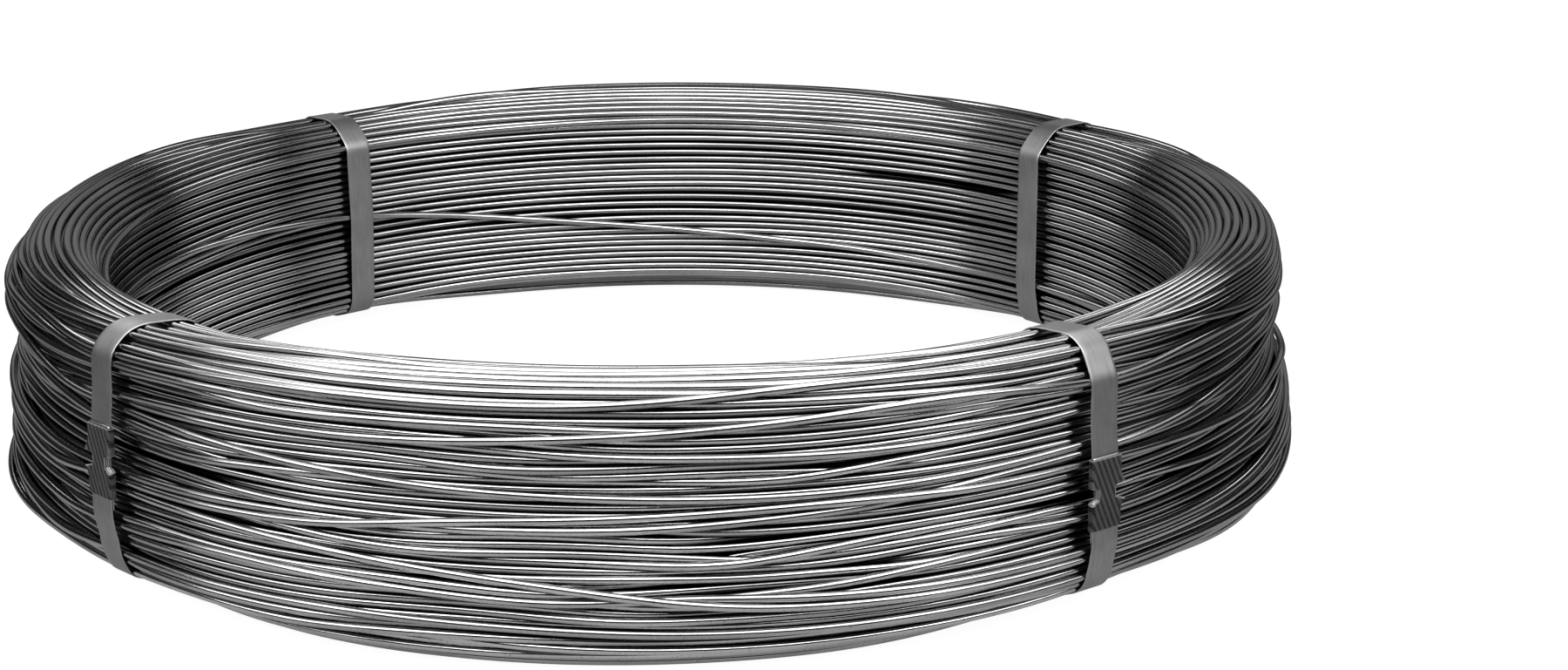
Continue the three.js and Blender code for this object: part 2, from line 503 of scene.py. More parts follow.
@dataclass
class Winding:
    """The surface turns of the coil, laid against each other.

    Attributes:
        section: the outline that the turns fill.
        swell: the finished coil's bulges.
        strands: turns that cross over the rest.
        laying: how the turns are wound on.
        settling: how they bed down.
        rod: the rod's diameter.
        stations: how many places round the axis each turn is worked out at.
        skin_turns: turns in the outermost layer.
        under_turns: turns in the layer below it.
        bed: the depth of the lower layer's centres, in rods.
        angle: of each station about the axis.
        share: of the section, for each station and turn.
        depth: below the coil's outline at which each turn is laid.
        lift: how far the outline swells there.
        layer: the number of each turn's layer.
        places: the settled centres in the section.
        lie: the settled centres' depths below the swollen outline, and the outward normals there.
    """

    section: CoilSection
    swell: Swell
    strands: tuple[Strand, ...]
    laying: Laying = Laying()
    settling: Settling = Settling()
    rod: float = 4.6 * MM
    stations: int = 288
    skin_turns: int = 91
    under_turns: int = 66
    bed: float = 1.42
    angle: Array = field(init=False)
    share: Array = field(init=False)
    depth: Array = field(init=False)
    lift: Array = field(init=False)
    layer: NDArray[np.int64] = field(init=False)
    places: Array = field(init=False)
    lie: tuple[Array, Array] = field(init=False)

    def __post_init__(self) -> None:
        """Lays the turns, lets them settle, and swells the finished coil."""
        self.angle = np.arange(self.stations) * TURN / self.stations
        self.share, self.depth, self.layer = self.lay_out()
        self.lift = self.swell_at(self.share, np.broadcast_to(self.angle[:, None], self.share.shape))
        self.places = self.settle()
        depth, normal = self.section.depth(self.places)
        self.lie = depth + self.lift, normal

    def swell_at(self, share: Array, angle: Array) -> Array:
        """How far the finished coil's skin stands out from the true ring's.

        Args:
            share: the share of the section.
            angle: about the axis, of the same shape.

        Returns:
            Distances along the section's outward normals.
        """
        place, normal = self.section.place(share, 0.0)
        return self.swell.at(share, angle, normal, place[..., 1] / self.section.top)

    def crowded(self, even: Array, crowding: float) -> Array:
        """Even places round the section drawn together on the outer face.

        Args:
            even: from 0 to 1.
            crowding: how much more closely turns lie there than elsewhere, as a share.

        Returns:
            Shares of the section.
        """
        samples = 721
        share = np.linspace(0.0, 1.0, samples)
        weight = 1.0 + crowding * np.clip(self.section.place(share, 0.0)[1][:, 0], 0.0, 1.0)
        total = np.concatenate([[0.0], np.cumsum((weight[1:] + weight[:-1]) / 2)])
        return np.interp(even, total / total[-1], share)

    def lay_out(self) -> tuple[Array, Array, NDArray[np.int64]]:
        """Spaces the turns round the section, with bunches, gaps and crossings in the outer layer.

        Each skin turn keeps to an even place plus a field shared with its neighbours, which bunches
        them, and a wander of its own. Its own depth decides which of two crossing turns runs on top.

        Returns:
            (stations, turns) shares, (stations, turns) depths, and each turn's layer.
        """
        laying, pitch = self.laying, 1.0 / self.skin_turns
        draw = np.random.default_rng(laying.seed)
        uneven = draw.uniform(-laying.uneven, laying.uneven, self.skin_turns)
        under_even = (np.arange(self.under_turns) + laying.under_start) / self.under_turns
        skin_even = (np.arange(self.skin_turns) + 0.5 + uneven) / self.skin_turns
        angle = self.angle[:, None]
        under = self.crowded(under_even, laying.under_crowding) + 0.0 * angle
        skin = self.crowded(skin_even, laying.skin_crowding) + 0.0 * angle
        bunch = WaveField(laying.seed + 1, laying.bunching * pitch, round_axis=(0, 3), round_section=(5, 13))
        own = WaveField(laying.seed + 2, laying.straying * pitch, round_axis=(1, 3), round_section=(20, 60))
        low = WaveField(
            laying.seed + 3, laying.under_straying * pitch, round_axis=(1, 4), round_section=(6, 20)
        )
        play = self.play(skin)
        here, here_below = (np.broadcast_to(angle, turns.shape) for turns in (skin, under))
        skin = skin + (bunch.at(skin, here) + own.at(skin, here)) * play
        under = under + low.at(under, here_below) * self.play(under)
        strands = np.stack([strand.shares(self.angle) for strand in self.strands], -1)
        sink = draw.uniform(-laying.skin_spread, laying.skin_spread, self.skin_turns) * self.rod * play
        bed = self.rod * self.bed
        skin_depth = bed - self.rod * laying.skin_lift + sink
        depths = [bed + 0.0 * under, skin_depth, -laying.strand_lift * self.rod + 0.0 * strands]
        counts = {Layer.UNDER: self.under_turns, Layer.SKIN: self.skin_turns, Layer.STRAND: len(self.strands)}
        layers = np.repeat([layer.value for layer in counts], list(counts.values()))
        return np.concatenate([under, skin, strands], -1), np.concatenate(depths, -1), layers

    def play(self, share: Array) -> Array:
        """How freely turns stray: fully on the outer face, and less from its shoulders to the eye.

        Args:
            share: of the section.

        Returns:
            Values up to one.
        """
        outward = self.section.place(share, 0.0)[1][..., 0]
        eye_play, play_reach = self.laying.eye_play, self.laying.play_reach
        return eye_play + (1.0 - eye_play) * np.clip(outward + play_reach, 0.0, 1.0)

    def settle(self) -> Array:
        """Lets the turns bed down on each other.

        Each round draws every turn towards its own share and down to the layer below, pushes apart
        each pair that is nearer than a diameter by half the shortfall, and then takes out the short
        waves, as a stiff rod would. Under a strap no turn may ride higher than a turn that crosses
        the skin there.

        Returns:
            (stations, turns, 2) places of the rods' centres in the section.
        """
        settling = self.settling
        floor = self.rod * self.bed - self.lift
        off_strap = 1.0 - self.swell.nearness(self.angle, settling.strap_reach)[:, None]
        ceiling = self.rod * (-settling.strap_ceiling - settling.free_ceiling * off_strap) - self.lift
        home = self.section.place(self.share, self.depth - self.lift)[0]
        hold = np.array(settling.hold)[self.layer][:, None]
        sinking = np.array(settling.sinking)[self.layer][:, None]
        places = home.copy()
        for count in range(settling.rounds):
            if count % settling.search_every == 0:
                pairs = self.near_pairs(places, settling.search_reach * self.rod)
            last = count >= settling.rounds - settling.last_rounds
            if not last:
                depth, normal = self.section.depth(places)
                along = np.stack([-normal[..., 1], normal[..., 0]], -1)
                drift = ((home - places) * along).sum(-1, keepdims=True)
                above = np.clip(floor - depth, 0.0, self.rod)[..., None]
                places = places + hold * drift * along - sinking * above * normal
            for _ in range(settling.pushes):
                places = places + self.push_apart(places, pairs)
                depth, normal = self.section.depth(places)
                over = np.maximum(depth - floor, 0.0) - np.maximum(ceiling - depth, 0.0)
                places = places + normal * over[..., None]
            places = smooth_round(places, settling.last_cutoff if last else settling.cutoff)
        return places

    @staticmethod
    def near_pairs(places: Array, reach: float) -> NDArray[np.int64]:
        """Pairs of turns that come within a reach of each other at any second station.

        The stations are taken in blocks, which keeps the distances of all pairs small in memory.

        Args:
            places: the rods' centres.
            reach: the distance.

        Returns:
            (m, 2) turns, each pair both ways round and each turn with itself, in order of the first.
        """
        blocks = 12
        turns = places.shape[1]
        closest = np.full((turns, turns), np.inf)
        for block in np.array_split(places[::2], blocks):
            gap = np.linalg.norm(block[:, :, None] - block[:, None], axis=-1)
            closest = np.minimum(closest, gap.min(0))
        return np.argwhere(closest < reach)

    def push_apart(self, places: Array, pairs: NDArray[np.int64]) -> Array:
        """The move that takes half of each pair's shortfall from either turn.

        Args:
            places: the rods' centres.
            pairs: the pairs of turns, as near_pairs gives them.

        Returns:
            A move for each place, of a limited length each way.
        """
        one, other = pairs.T
        between = places[:, one] - places[:, other]
        apart = np.sqrt((between**2).sum(-1, keepdims=True))
        push = between * (np.maximum(self.rod - apart, 0.0) / 2 / np.maximum(apart, TINY))
        first_of_turn = np.flatnonzero(np.concatenate([[True], np.diff(one) > 0]))
        move = np.add.reduceat(push, first_of_turn, axis=1)
        most = self.settling.longest_push * self.rod
        return np.clip(move, -most, most)

    def centres(self, turns: NDArray[np.int64]) -> Array:
        """The centre lines of some turns as (turns, stations, 3) points."""
        radius, height = self.places[:, turns, 0].T, self.places[:, turns, 1].T
        return np.stack([radius * np.cos(self.angle), radius * np.sin(self.angle), height], -1)

    def reach_at(self, angle: float, half_width: float) -> Array:
        """The centres of the rods under a band at an angle, as seen along the band's own plane.

        Args:
            angle: the band's, in radians.
            half_width: half its width.

        Returns:
            (n, 2) places, as the distance out along the band's own direction and the height.
        """
        away = np.mod(self.angle - angle + math.pi, TURN) - math.pi
        under = np.abs(away) < half_width / self.section.inner + TURN / self.stations / 2
        places = self.places[under].copy()
        places[..., 0] *= np.cos(away[under])[:, None]
        return places.reshape(-1, 2)


# ---- Finishes --------------------------------------------------------------------------------------

class Graph:
    """Adds nodes to one node tree and links them."""

    def __init__(self, tree: bpy.types.NodeTree) -> None:
        """Keeps the tree that nodes are added to."""
        self.tree = tree

    def add(self, kind: str, inputs: dict | None = None, **settings: object) -> bpy.types.Node:
        """Adds a node.

        Args:
            kind: the node's type, with a leading ShaderNode left out.
            inputs: for each input, by name or number, a constant or the output that feeds it.
            settings: the node's own properties.

        Returns:
            The node.
        """
        node = self.tree.nodes.new(kind if kind.startswith("Node") else f"ShaderNode{kind}")
        for name, value in settings.items():
            setattr(node, name, value)
        for name, value in (inputs or {}).items():
            if isinstance(value, bpy.types.NodeSocket):
                self.tree.links.new(value, node.inputs[name])
            else:
                node.inputs[name].default_value = value
        return node

    def math(self, operation: str, *values: object) -> bpy.types.NodeSocket:
        """The output of a Math node over the values."""
        return self.add("Math", dict(enumerate(values)), operation=operation).outputs[0]

    def spread(
        self, value: object, span: tuple[float, float], onto: tuple[float, float] = (0.0, 1.0)
    ) -> bpy.types.NodeSocket:
        """A value carried from one span onto another and kept inside it."""
        ends = dict(zip(("From Min", "From Max", "To Min", "To Max"), span + onto))
        return self.add("MapRange", {"Value": value} | ends).outputs["Result"]

    def noise(
        self, place: object, scale: object, detail: float, roughness: float = 0.5, shift: object = None
    ) -> bpy.types.NodeSocket:
        """Noise about one half.

        Args:
            place: where it is read.
            scale: how many of its cells fit into one unit of the place.
            detail: how many finer copies are added.
            roughness: how strong each finer copy is, as a share of the one before.
            shift: a place in a fourth dimension, or None for noise in three.

        Returns:
            The noise.
        """
        inputs = {"Vector": place, "Scale": scale, "Detail": detail, "Roughness": roughness}
        if shift is None:
            return self.add("TexNoise", inputs).outputs[0]
        return self.add("TexNoise", inputs | {"W": shift}, noise_dimensions="4D").outputs[0]

    def blend(self, share: object, one: object, other: object) -> bpy.types.NodeSocket:
        """The mix of two colours, which a Mix node keeps at its inputs 6 and 7 and its output 2."""
        return self.add("Mix", {0: share, 6: one, 7: other}, data_type="RGBA").outputs[2]

    def split(self, vector: object) -> tuple[bpy.types.NodeSocket, ...]:
        """The three parts of a vector."""
        return tuple(self.add("SeparateXYZ", {"Vector": vector}).outputs)

    def attribute(self, name: str) -> bpy.types.NodeSocket:
        """The vector that a piece's mesh stores under a name."""
        return self.add("Attribute", attribute_name=name).outputs["Vector"]


def grey(level: float) -> tuple[float, float, float, float]:
    """A neutral colour."""
    return (level, level, level, 1.0)


def new_material(name: str) -> tuple[bpy.types.Material, Graph]:
    """An empty material, and the graph that fills it.

    Args:
        name: the material's name.

    Returns:
        The material and its graph.
    """
    made = bpy.data.materials.new(name)
    made.use_nodes = True
    made.node_tree.nodes.clear()
    return made, Graph(made.node_tree)


def rod_surface_group() -> bpy.types.NodeTree:
    """The marks that drawing and handling leave on a rod.

    Dull and bright patches follow each turn by itself, streaks run along the rod, and pits are
    scattered all over. The attribute rod_lay holds the place round the rod as a cosine and a sine,
    and the turn's own number, which sets its pattern apart from its neighbours'.

    Returns:
        A node group that puts out Patch, Streak and Pits between 0 and 1, and a Normal.
    """
    turn_stride = 7.31
    streaks_along, streaks_round = 14.0, 3.2
    streak_relief, pit_relief, relief_height = 0.5, 0.5, 0.4 * MM
    tree = bpy.data.node_groups.new("rod_surface", "ShaderNodeTree")
    for name in ("Patch Scale", "Pit Scale", "Relief"):
        tree.interface.new_socket(name, in_out="INPUT", socket_type="NodeSocketFloat")
    for name in ("Patch", "Streak", "Pits"):
        tree.interface.new_socket(name, in_out="OUTPUT", socket_type="NodeSocketFloat")
    tree.interface.new_socket("Normal", in_out="OUTPUT", socket_type="NodeSocketVector")
    graph = Graph(tree)
    given = graph.add("NodeGroupInput").outputs
    place = graph.add("TexCoord").outputs["Object"]
    x, y, _ = graph.split(place)
    cosine, sine, turn = graph.split(graph.attribute("rod_lay"))
    own = graph.math("MULTIPLY", turn, turn_stride)
    patch = graph.noise(place, given["Patch Scale"], detail=2.0, shift=own)
    track = {
        "X": graph.math("MULTIPLY", x, streaks_along),
        "Y": graph.math("MULTIPLY", y, streaks_along),
        "Z": graph.math("MULTIPLY", cosine, streaks_round),
    }
    side = graph.math("MULTIPLY_ADD", sine, streaks_round, own)
    track_place = graph.add("CombineXYZ", track).outputs[0]
    streak = graph.noise(track_place, 1.0, detail=4.0, roughness=0.65, shift=side)
    pits = graph.noise(place, given["Pit Scale"], detail=2.0, roughness=0.6)
    height = graph.math("MULTIPLY_ADD", streak, streak_relief, graph.math("MULTIPLY", pits, pit_relief))
    bump = graph.add("Bump", {"Strength": given["Relief"], "Distance": relief_height, "Height": height})
    graph.add("NodeGroupOutput", {"Patch": patch, "Streak": streak, "Pits": pits, "Normal": bump.outputs[0]})
    return tree


@dataclass(frozen=True)
class RodFinish:
    """Bright drawn steel with duller patches.

    Each span gives the values of a mark between which its effect grows, and each pair of tones says
    what the metal's level is multiplied by at the two ends of the span.

    Attributes:
        name: the material's name.
        bright: the clean metal's level.
        dull: the level of the oxidised patches.
        gloss: the roughness of the clean metal.
        matt: the roughness of the dull patches.
        patch_scale: patches in a metre.
        patch_span: from quite dull to quite clean.
        own_tone: how much a turn's own tone adds to the patches.
        relief: how strongly streaks and pits show in relief.
        pit_scale: pits in a metre.
        pit_span: from the middle of a pit to its rim.
        pit_tones: there.
        streak_span: from a dark streak to a light one.
        streak_tones: there.
        recess_shade_span: the depths, in rods, at which the painted shade between the turns begins and is
            darkest.
        recess_shade_tones: there.
    """

    name: str = "drawn_steel_rod"
    bright: float = 0.52
    dull: float = 0.33
    gloss: float = 0.09
    matt: float = 0.17
    patch_scale: float = 11.0
    patch_span: tuple[float, float] = (0.46, 0.74)
    own_tone: float = 0.22
    relief: float = 0.10
    pit_scale: float = 900.0
    pit_span: tuple[float, float] = (0.28, 0.42)
    pit_tones: tuple[float, float] = (0.55, 1.0)
    streak_span: tuple[float, float] = (0.35, 0.65)
    streak_tones: tuple[float, float] = (0.80, 1.08)
    recess_shade_span: tuple[float, float] = (0.05, 0.53)
    recess_shade_tones: tuple[float, float] = (1.0, 0.018)

    def material(self, surface: bpy.types.NodeTree) -> bpy.types.Material:
        """Builds the material.

        A turn's own tone and the patches choose between the dull and the bright level, and the pits
        darken both. Painted shade darkens them further, by the depth in rods that the attribute
        rod_depth holds.

        Args:
            surface: the node group of the rod's marks.

        Returns:
            The material.
        """
        made, graph = new_material(self.name)
        scales = {"Patch Scale": self.patch_scale, "Pit Scale": self.pit_scale, "Relief": self.relief}
        marks = graph.add("Group", scales, node_tree=surface).outputs
        turn = graph.split(graph.attribute("rod_lay"))[2]
        own_tone = graph.add("TexWhiteNoise", {"W": turn}, noise_dimensions="1D").outputs[0]
        patch = graph.math("MULTIPLY_ADD", own_tone, self.own_tone, marks["Patch"])
        clean = graph.spread(patch, self.patch_span)
        tone = graph.blend(clean, grey(self.dull), grey(self.bright))
        pit = graph.spread(marks["Pits"], self.pit_span, self.pit_tones)
        streak = graph.spread(marks["Streak"], self.streak_span, self.streak_tones)
        # Painted shade: the deeper a point lies below the swollen outline, the darker the metal, nearly black
        # in the grooves; it multiplies the rods' own pits and streaks.
        depth = graph.add("Attribute", attribute_name="rod_depth").outputs["Fac"]
        recess_shade = graph.spread(depth, self.recess_shade_span, self.recess_shade_tones)
        shade = graph.math("MULTIPLY", graph.math("MULTIPLY", pit, streak), recess_shade)
        colour = graph.add("VectorMath", {"Vector": tone, "Scale": shade}, operation="SCALE").outputs[0]
        look = {
            "Base Color": colour,
            "Metallic": 1.0,
            "Roughness": graph.spread(clean, (0.0, 1.0), (self.matt, self.gloss)),
            "Normal": marks["Normal"],
        }
        graph.add("OutputMaterial", {"Surface": graph.add("BsdfPrincipled", look).outputs[0]})
        return made


@dataclass(frozen=True)
class BandFinish:
    """Rolled strapping or seal sheet, with bright cut edges.

    Attributes:
        name: the material's name.
        level: the face's level.
        cut_level: what bare metal at edges and cuts adds to it.
        roughness: the face's.
        metal: how metallic it is.
        sheen: the strength of its plain mirror layer, where half is a common one.
        cloud_scale: clouds in a metre.
        scuff_scale: scuffs in a metre along the sheet and across it.
        cloud_span: the sum of clouds and scuffs where the face is darkest and lightest.
        cloud_tones: what its level is multiplied by there.
        grain_scale: grains in a metre.
        grain_relief: how high the grain stands, as a share of the relief's height.
        grain_wear: how much the grain frays the border of the bare metal.
        cut_span: how bare the sheet is where the metal begins to show, and where it is plain.
        cut_roughness: the roughness of the bare metal.
        relief: the strength of the relief.
        relief_height: its height.
        hatch: how strongly a diagonal grip pattern shows, or 0 for none.
        hatch_pitch: from bar to bar of that pattern, across the sheet.
        hatch_slant: how far a bar climbs across the sheet for each step along it.
        hatch_sink: how deep a bar lies for a hatch of one, as a share of the relief's height.
        hatch_dark: the share of its level that a bar loses for a hatch of one, which doubles the rest.
        bar_span: the sine across the bars at which one begins and is full.
        break_scale: the stretch of the noise that breaks the bars, along the sheet and across it.
        break_cells: its cells in one stretched unit.
        break_span: the noise at which a bar is most broken and at which it is whole.
        break_shares: what is left of it there.
    """

    name: str
    level: float
    cut_level: float
    roughness: float
    metal: float
    sheen: float = 0.5
    cloud_scale: float = 45.0
    scuff_scale: tuple[float, float, float] = (60.0, 900.0, 0.0)
    cloud_span: tuple[float, float] = (0.7, 1.3)
    cloud_tones: tuple[float, float] = (0.82, 1.18)
    grain_scale: float = 1600.0
    grain_relief: float = 0.25
    grain_wear: float = 0.35
    cut_span: tuple[float, float] = (0.45, 0.95)
    cut_roughness: float = 0.3
    relief: float = 0.35
    relief_height: float = 0.3 * MM
    hatch: float = 0.0
    hatch_pitch: float = 3.6 * MM
    hatch_slant: float = 0.45
    hatch_sink: float = 0.6
    hatch_dark: float = 0.5
    bar_span: tuple[float, float] = (-0.2, 0.5)
    break_scale: tuple[float, float, float] = (520.0, 260.0, 0.0)
    break_cells: float = 5.0
    break_span: tuple[float, float] = (0.42, 0.5)
    break_shares: tuple[float, float] = (0.25, 1.0)

    def material(self) -> bpy.types.Material:
        """Builds the material.

        The attribute band_lay holds the distance along and across the sheet and how bare it is.
        Scuffs run along the sheet, clouds lie over it, and grain roughens it.

        Returns:
            The material.
        """
        made, graph = new_material(self.name)
        place = graph.add("TexCoord").outputs["Object"]
        lay = graph.attribute("band_lay")
        bare = graph.split(lay)[2]
        scuff_place = graph.add("Mapping", {"Vector": lay, "Scale": self.scuff_scale}).outputs[0]
        scuff = graph.noise(scuff_place, 1.0, detail=3.0)
        cloud = graph.noise(place, self.cloud_scale, detail=4.0)
        grain = graph.noise(place, self.grain_scale, detail=2.0)
        levels = (self.level * self.cloud_tones[0], self.level * self.cloud_tones[1])
        face = graph.spread(graph.math("ADD", cloud, scuff), self.cloud_span, levels)
        relief = graph.math("MULTIPLY", grain, self.grain_relief)
        if self.hatch:
            bars = self.hatch_bars(graph, lay)
            tones = (1.0 + self.hatch, 1.0 - self.hatch_dark * self.hatch)
            face = graph.math("MULTIPLY", face, graph.spread(bars, (0.0, 1.0), tones))
            relief = graph.math("MULTIPLY_ADD", bars, -self.hatch_sink * self.hatch, relief)
        worn = graph.spread(graph.math("MULTIPLY_ADD", grain, self.grain_wear, bare), self.cut_span)
        level = graph.math("ADD", face, graph.math("MULTIPLY", worn, self.cut_level))
        colour = graph.add("CombineColor", dict.fromkeys(("Red", "Green", "Blue"), level)).outputs[0]
        height = {"Strength": self.relief, "Distance": self.relief_height, "Height": relief}
        look = {
            "Base Color": colour,
            "Metallic": self.metal,
            "Roughness": graph.spread(worn, (0.0, 1.0), (self.roughness, self.cut_roughness)),
            "Specular IOR Level": self.sheen,
            "Normal": graph.add("Bump", height).outputs[0],
        }
        graph.add("OutputMaterial", {"Surface": graph.add("BsdfPrincipled", look).outputs[0]})
        return made

    def hatch_bars(self, graph: Graph, lay: bpy.types.NodeSocket) -> bpy.types.NodeSocket:
        """The grip pattern: slanting bars, a sine of the distance across them, broken by noise.

        Args:
            graph: the material's graph.
            lay: the distance along and across the sheet.

        Returns:
            A mask that is one on the bars.
        """
        along, across, _ = graph.split(lay)
        slant = graph.math("MULTIPLY_ADD", along, self.hatch_slant, across)
        wave = graph.math("SINE", graph.math("MULTIPLY", slant, TURN / self.hatch_pitch))
        break_place = graph.add("Mapping", {"Vector": lay, "Scale": self.break_scale}).outputs[0]
        noise = graph.noise(break_place, self.break_cells, detail=1.0)
        left = graph.spread(noise, self.break_span, self.break_shares)
        return graph.math("MULTIPLY", graph.spread(wave, self.bar_span), left)


# ---- The wound rod ---------------------------------------------------------------------------------

@dataclass
class WireCoil:
    """The meshes of the wound rod, which stand for the coil's plain solid.

    Attributes:
        winding: the laid turns.
        sides: the flats round a rod.
        hidden_sides: the flats round a rod of the layer below.
        face_limit: the outward part of the normal past which a turn is on the outer or the eye face.
        lit_top: how much less painted shade the very top gets, as if lit there, as a share.
        underside: how much deeper in the painted shade a rod's underside counts as, in rods.
        body_turns: crests round the section of the inner body.
        body_points: its points round the section.
        body_stations: its stations round the axis.
        body_bed: how far below the lower layer's centres its grooves lie, in rods.
        body_crest: how far its crests stand above its grooves, in rods.
        body_number: the number of its first turn, well past those of the turns in sight.
    """

    winding: Winding
    sides: int = 8
    hidden_sides: int = 6
    face_limit: float = 0.6
    lit_top: float = 0.8
    underside: float = 0.55
    body_turns: int = 60
    body_points: int = 180
    body_stations: int = 144
    body_bed: float = 0.85
    body_crest: float = 0.35
    body_number: int = 500

    def build(self, material: bpy.types.Material) -> list[bpy.types.Object]:
        """Makes the turns, face by face, and the inner body behind them.

        Args:
            material: the rod's.

        Returns:
            The pieces.
        """
        made = [
            self.rods(name, turns, self.hidden_sides if "under" in name else self.sides)
            for name, turns in self.groups().items()
        ]
        made.append(self.body())
        for piece in made:
            piece.data.materials.append(material)
            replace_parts(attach(piece, "root"), "wire_coil")
        return made

    def groups(self) -> dict[str, NDArray[np.int64]]:
        """Sorts the turns by layer, and by the normal at each one's mean place in the section.

        Returns:
            The numbers of the turns in each piece, by the piece's name.
        """
        winding = self.winding
        normal = winding.section.place(winding.share.mean(0), 0.0)[1]
        skin = winding.layer == Layer.SKIN.value
        under = winding.layer == Layer.UNDER.value
        outer, inner = normal[:, 0] > self.face_limit, normal[:, 0] < -self.face_limit
        level = ~outer & ~inner
        return {
            "turns_outer_face": np.flatnonzero(skin & outer),
            "turns_eye_face": np.flatnonzero(skin & inner),
            "turns_crown": np.flatnonzero(skin & level & (normal[:, 1] > 0)),
            "turns_foot": np.flatnonzero(skin & level & (normal[:, 1] < 0)),
            "turns_under_outer": np.flatnonzero(under & (normal[:, 0] > 0)),
            "turns_under_eye": np.flatnonzero(under & (normal[:, 0] <= 0)),
            "turns_crossing": np.flatnonzero(winding.layer == Layer.STRAND.value),
        }

    def rods(self, name: str, turns: NDArray[np.int64], sides: int) -> bpy.types.Object:
        """Makes some turns as closed round rods.

        A point on a rod is its centre line's point plus the rod's radius times a cosine outwards and
        a sine across, both square to the line. A point's depth in the painted shade is its own below
        the swollen outline, less on the coil's top, as if lit there, and more on the rod's underside,
        which the painted shade darkens.

        Args:
            name: the piece's name.
            turns: the turns' numbers.
            sides: the flats round each.

        Returns:
            The piece.
        """
        centre = self.winding.centres(turns)
        count, stations = centre.shape[:2]
        along = unit(np.roll(centre, -1, 1) - np.roll(centre, 1, 1))
        outward = centre * (1.0, 1.0, 0.0)
        outward = unit(outward - (outward * along).sum(-1, keepdims=True) * along)
        across = np.cross(along, outward)
        around = np.arange(sides) * TURN / sides
        ring = np.stack([np.cos(around), np.sin(around)], -1)
        reach = ring[:, 0, None] * outward[:, :, None] + ring[:, 1, None] * across[:, :, None]
        vertices = centre[:, :, None] + reach * self.winding.rod / 2
        face = grid_faces(stations, sides, True, True)[:, ::-1]
        faces = (face + (np.arange(count) * stations * sides)[:, None, None]).reshape(-1, 4)
        piece = add_mesh(name, vertices.reshape(-1, 3), faces)
        lay = np.empty(vertices.shape)
        lay[..., :2] = ring
        lay[..., 2] = turns[:, None, None]
        add_vectors(piece, "rod_lay", lay.reshape(-1, 3))
        # Painted shade: each point's depth below the swollen outline sets how dark it is drawn, less on the
        # coil's top as if lit, more on each rod's underside.
        depth, normal = (np.swapaxes(values[:, turns], 0, 1) for values in self.winding.lie)
        facing = ring[:, 0] * normal[..., None, 0] - ring[:, 1] * normal[..., None, 1]
        top_shade_share = 1.0 - self.lit_top * np.clip(normal[..., None, 1], 0.0, 1.0) ** 2
        deep = (depth[..., None] / self.winding.rod - facing / 2) * top_shade_share
        deep = deep + self.underside * np.clip(reach[..., 2], -1.0, 0.0) ** 2
        add_vectors(piece, "rod_depth", np.repeat(deep.reshape(-1, 1), 3, axis=1))
        return piece

    def body(self) -> bpy.types.Object:
        """Makes the closed ring of hidden turns that backs the two layers in sight.

        Its section is the outline at an inset of about two rods. It has one crest for each of its
        turns, as high as the size of a cosine of the way round.

        Returns:
            The piece.
        """
        winding = self.winding
        points, stations = self.body_points, self.body_stations
        share = np.broadcast_to(np.arange(points) / points, (stations, points))
        angle = np.broadcast_to(np.arange(stations)[:, None] * TURN / stations, share.shape)
        crest = np.abs(np.cos(share * self.body_turns * math.pi))
        below = winding.rod * (winding.bed + self.body_bed - self.body_crest * crest)
        place = winding.section.place(share, below - winding.swell_at(share, angle))[0]
        vertices = np.stack([place[..., 0] * np.cos(angle), place[..., 0] * np.sin(angle), place[..., 1]], -1)
        faces = grid_faces(stations, points, True, True)
        piece = add_mesh("turns_within", vertices.reshape(-1, 3), faces)
        lay = np.stack([crest, 1.0 - crest, np.floor(share * self.body_turns) + self.body_number], -1)
        add_vectors(piece, "rod_lay", lay.reshape(-1, 3))
        # Painted shade: the hidden body counts as lying at its crests' depth, which draws it nearly black.
        crest_depth = winding.bed + self.body_bed - self.body_crest
        add_vectors(piece, "rod_depth", np.full((share.size, 3), crest_depth))
        return piece


# ---- The straps and their seals --------------------------------------------------------------------

class Place(Enum):
    """Where each strap stands, as its angle in degrees about the coil's axis."""

    FRONT_LEFT = 225.0
    FRONT_RIGHT = 308.5
    BACK_RIGHT = 40.4
    BACK_LEFT = 131.6

    @property
    def label(self) -> str:
        """The place's name in the names of pieces."""
        return self.name.lower()


class SealPart(Enum):
    """The parts of a seal's folded section."""

    FLANGE = 0
    SIDE = 1
    FACE = 2


@dataclass(frozen=True)
class SealSize:
    """The seal's sizes, and the lap that it holds.

    Attributes:
        length: along the strap.
        height: of its middle above the floor.
        sheet: the thickness of its sheet.
        flange: how far each flange folds in behind the strap.
        bend: the radius of its folds, at the middle of the sheet.
        notch_length: along the strap.
        notch_depth: in from the edge.
        notch_slope: the length of the slope at each end of the notch.
        ear: how far the torn corners are bent out.
        ear_length: how far along the strap from the notch that fades to a third.
        ear_width: how far in from the seal's side it reaches.
        ear_lean: how far the corners come forwards, as a share of how far they go outwards.
        tail: how far the under end of the strap shows below the seal.
        cut_end: how far the outer end shows above it.
        gap: between touching sheets.
    """

    length: float
    height: float
    sheet: float = 0.9 * MM
    flange: float = 8 * MM
    bend: float = 0.9 * MM
    notch_length: float = 9 * MM
    notch_depth: float = 3.4 * MM
    notch_slope: float = 1.4 * MM
    ear: float = 2.0 * MM
    ear_length: float = 3.2 * MM
    ear_width: float = 4 * MM
    ear_lean: float = 0.8
    tail: float = 7 * MM
    cut_end: float = 2.5 * MM
    gap: float = 0.3 * MM

    @property
    def lap(self) -> float:
        """The length of the lap, from the under end of the strap to the outer one."""
        return self.tail + self.length + self.cut_end

    def notch(self, height: Array) -> Array:
        """How deep the notch is at heights above the floor: a trapezium with steep ends."""
        away = np.abs(height - self.height)
        return self.notch_depth * np.clip((self.notch_length / 2 - away) / self.notch_slope, 0.0, 1.0)


